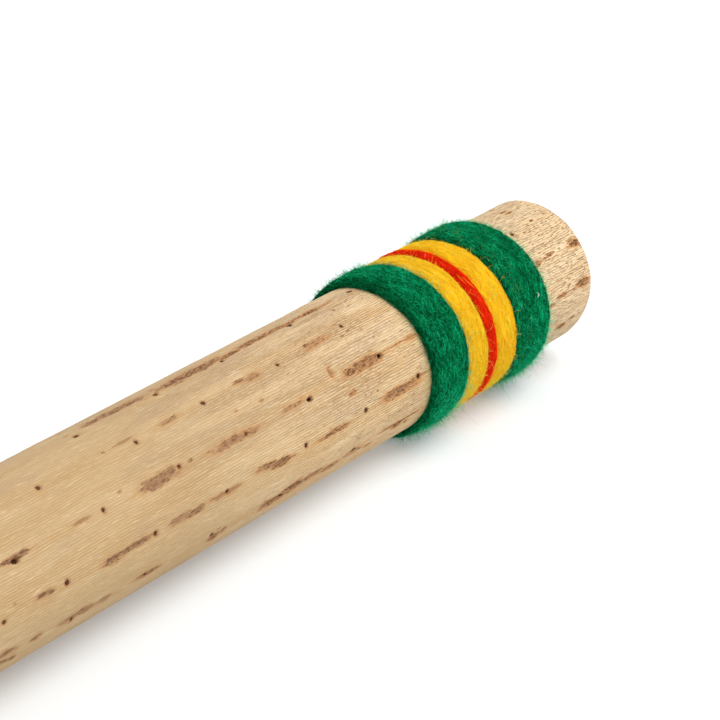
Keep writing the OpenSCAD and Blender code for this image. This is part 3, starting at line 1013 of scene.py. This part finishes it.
def fibre_tubes(paths, thickness, bottom, height):
    """Closed three-sided tubes along the paths, thinning to their ends, and where they go when laid flat."""
    count, steps, _ = paths.shape
    ahead = unit(np.gradient(paths, axis=1))
    out = paths * [0, 1, 1] - [0, 0, AXIS_Z]
    out = unit(out - ahead * np.sum(out * ahead, axis=2, keepdims=True))
    side = np.cross(ahead, out)
    t = np.linspace(0, 1, steps)
    radius = thickness[:, None] * np.clip(np.sin(math.pi * (0.06 + 0.88 * t)) ** 0.6, 0.12, 1)
    corners = [paths + radius[..., None] * (math.cos(a) * out + math.sin(a) * side) for a in turns(3)]
    first = (np.arange(count) * steps * 3)[:, None, None]
    ring = first + (np.arange(steps - 1) * 3)[None, :, None]
    here, following = np.arange(3), (np.arange(3) + 1) % 3
    walls = np.stack([ring + here, ring + 3 + here, ring + 3 + following, ring + following], axis=-1)
    caps = [first[:, 0] + [0, 1, 2], first[:, 0] + (steps - 1) * 3 + [2, 1, 0]]
    columns = 32
    row, column = np.divmod(np.arange(count), columns)
    rows = row[-1] + 1
    u = ((column[:, None] + 0.9 * t) / columns)[..., None] * np.ones(3)
    v = (row[:, None, None] + np.arange(3) / 4 + 0 * t[:, None]) / rows
    points = np.stack(corners, axis=2).reshape(-1, 3)
    faces = walls.reshape(-1, 4).tolist() + caps[0].tolist() + caps[1].tolist()
    return points, faces, on_sheet(u, v, bottom, height)


def winding_pieces(part, end, material, seed, lay, edges):
    """A band of wool in three pieces: the felt with its lying fibres, the nap, and the long hairs."""
    random = np.random.default_rng(seed)
    node = f"wool_{part}_{end}"
    band = Band(node, lay, seed, edges)
    tens = 2 * band.half / (10 * MM)

    def add_piece(kind, points, faces, strand, fleck, flat):
        make_piece(f"{kind}_{part}_{end}", above_floor(points), faces, material, "stick", [node],
                   {"strand": strand, "fleck": fleck}, flat)

    core_points, core_faces, core_flat = felt_core(band)
    bare = np.zeros(len(core_points))
    count = int(lay.lying * tens)
    paths = above_floor(lying_fibres(band, random, count, lay), 0.1 * MM)
    points, faces, flat = fibre_tubes(paths, random.uniform(*lay.thick, count) * MM, 0.5, 0.5)
    each = len(points) // count
    start = (paths[:, 0, 0] - band.middle) / (2 * band.half)
    # Painted shade: lying fibres darken toward both edges of the band, where it meets the next band or the
    # wood.
    shade = random.beta(1.5, 1.5, count) * (0.4 + 0.6 * ease(0.5 - np.abs(start), 0.0, 0.08))
    add_piece("winding", np.concatenate([core_points, points]),
              core_faces + [[k + len(bare) for k in face] for face in faces],
              np.append(bare + CORE_SHADE, shade.repeat(each)),
              np.append(bare, random.random(count).repeat(each)), np.concatenate([core_flat, flat]))

    standing = {"nap": (nap_fibres, lay.nap, NAP_THICK, NAP_SHADES),
                "hairs": (long_hairs, lay.hairs, HAIR_THICK, HAIR_SHADES_AND_GLOW)}
    for kind, (paths_of, density, thick, shades) in standing.items():
        count = int(density * tens)
        paths = above_floor(paths_of(band, random, count, lay), 0.05 * MM)
        points, faces, flat = fibre_tubes(paths, random.uniform(*thick, count) * MM, 0.0, 1.0)
        each = len(points) // count
        start = band.side * (paths[:, 0, 0] - band.middle) / (2 * band.half)
        # Painted shade: nap and hairs darken at the edge nearer the middle of the stick.
        shade = random.uniform(*shades, count) * (0.7 + 0.3 * ease(start, -0.5, -0.43))
        # Painted glow: nap and hairs at the edge nearer the end are pushed into the paler backlit colors.
        shade += 0.4 * ease(start, 0.40, 0.50)
        stray = (part == "green_outer") & (start < -0.1) & (random.random(count) < STRAY_SHARE)
        fleck = np.where(stray, 1.0, random.random(count))
        add_piece(kind, points, faces, shade.repeat(each), fleck.repeat(each), flat)


def lint_piece(material):
    """A white speck of lint that is caught in the wool."""
    node = "wool_green_outer_right"
    band = Band(node, GREEN_LAY, 0, EDGES[-2:])
    t = np.linspace(0, 1, 6)
    angle = math.radians(156.5) + 1.6 * MM / TUBE_R * t
    path = band.place(0.63 + 0.03 * np.sin(4 * t), angle, (0.3 + 0.1 * t) * MM)[None]
    points, faces, flat = fibre_tubes(path, np.array([0.24 * MM]), 0.0, 1.0)
    make_piece("speck_of_lint", points, faces, material, "stick", [node], flat=flat)


# The windings of a wrap, from the end of the stick toward its middle
WINDINGS = [("green_outer", "green_wool", GREEN_LAY), ("yellow_outer", "yellow_wool", YELLOW_LAY),
            ("red", "red_wool", RED_LAY), ("yellow_inner", "yellow_wool", YELLOW_LAY),
            ("green_inner", "green_wool", GREEN_LAY)]


def wrap_pieces():
    """The five bands of wool at each end, and what is caught in them."""
    shades = {"green_wool": GREEN, "yellow_wool": YELLOW, "red_wool": RED}
    wools = {slot: wool(slot, shades[slot]) for slot in shades}
    for end_count, end in enumerate(ENDS):
        for count, (part, slot, lay) in enumerate(WINDINGS):
            edges = EDGES[len(WINDINGS) - 1 - count:][:2]
            seed = 200 + 20 * count + 7 * end_count
            winding_pieces(part, end, wools[slot], seed, lay, edges)
    lint_piece(Shader("lint").finish((0.75, 0.82, 0.78), roughness=0.9))


# ---------------- stage, light and camera

def stage_floor():
    shader = Shader("pale_floor")
    shader.surface.inputs["Emission Color"].default_value = (1, 1, 1, 1)
    shader.surface.inputs["Emission Strength"].default_value = 0.20
    material = shader.finish((0.61, 0.63, 0.64), roughness=0.9, specular=0.1)
    half = 6.0
    mesh = bpy.data.meshes.new("floor")
    corners = [(-half, -half, 0), (half, -half, 0), (half, half, 0), (-half, half, 0)]
    mesh.from_pydata(corners, [], [(0, 1, 2, 3)])
    mesh.materials.append(material)
    floor = bpy.data.objects.new("floor", mesh)
    bpy.context.scene.collection.objects.link(floor)


def stand(name, thing, place, look):
    """Places a lamp or the camera, which looks in a direction."""
    holder = bpy.data.objects.new(name, thing)
    holder.location = place
    holder.rotation_euler = look.to_track_quat("-Z", "Y").to_euler()
    bpy.context.scene.collection.objects.link(holder)
    return holder


def area_light(name, place, target, size, power):
    lamp = bpy.data.lights.new(name, "AREA")
    lamp.shape = "DISK"
    lamp.size = size
    lamp.energy = power
    stand(name, lamp, place, Vector(target) - Vector(place))


def light_scene():
    world = bpy.data.worlds.new("studio")
    world.use_nodes = True
    sky = world.node_tree.nodes["Background"].inputs
    sky["Color"].default_value = (1, 1, 1, 1)
    sky["Strength"].default_value = 0.80
    bpy.context.scene.world = world
    area_light("key", (1.4, -0.95, 2.0), (0.12, 0, 0), 2.0, 62)
    area_light("fill", (0.05, -0.95, 0.22), (0.15, 0, 0), 0.6, 2.3)
    area_light("back", (0.0, 0.95, 0.75), (0.12, 0, 0), 0.7, 3)
    bpy.context.scene.view_settings.view_transform = "Standard"


def place_camera():
    """The camera stands low over the left part of the stick and looks along it to the right-hand wrap."""
    camera = bpy.data.cameras.new("camera")
    camera.sensor_width = 36
    camera.lens = 118.1
    across, down = math.radians(39.27), math.radians(26.99)
    look = Vector((math.cos(down) * math.cos(across), math.cos(down) * math.sin(across), -math.sin(down)))
    place = (END_X - 0.610, -0.422, AXIS_Z + 0.3413)
    bpy.context.scene.camera = stand("camera", camera, place, look)


# ---------------- the rainstick

place_camera()
light_scene()
stage_floor()

rows = thorn_rows()
thorns = grown_thorns(rows)
tube_piece(cactus_wood(rows[0][0]), scar_marks(rows), [head for row in thorns for head in row])
plug_wood, dried_glue, thorn_material, stone = end_grain(), glue(), thorn_skin(), river_stone()
for end, side in ENDS.items():
    plug_piece(end, side, plug_wood)
    bead_piece(end, side, dried_glue)
for number, row in enumerate(thorns, 1):
    thorn_piece(number, row, thorn_material)
for number in range(1, STONE_ROWS + 1):
    stone_piece(number, stone)
wrap_pieces()
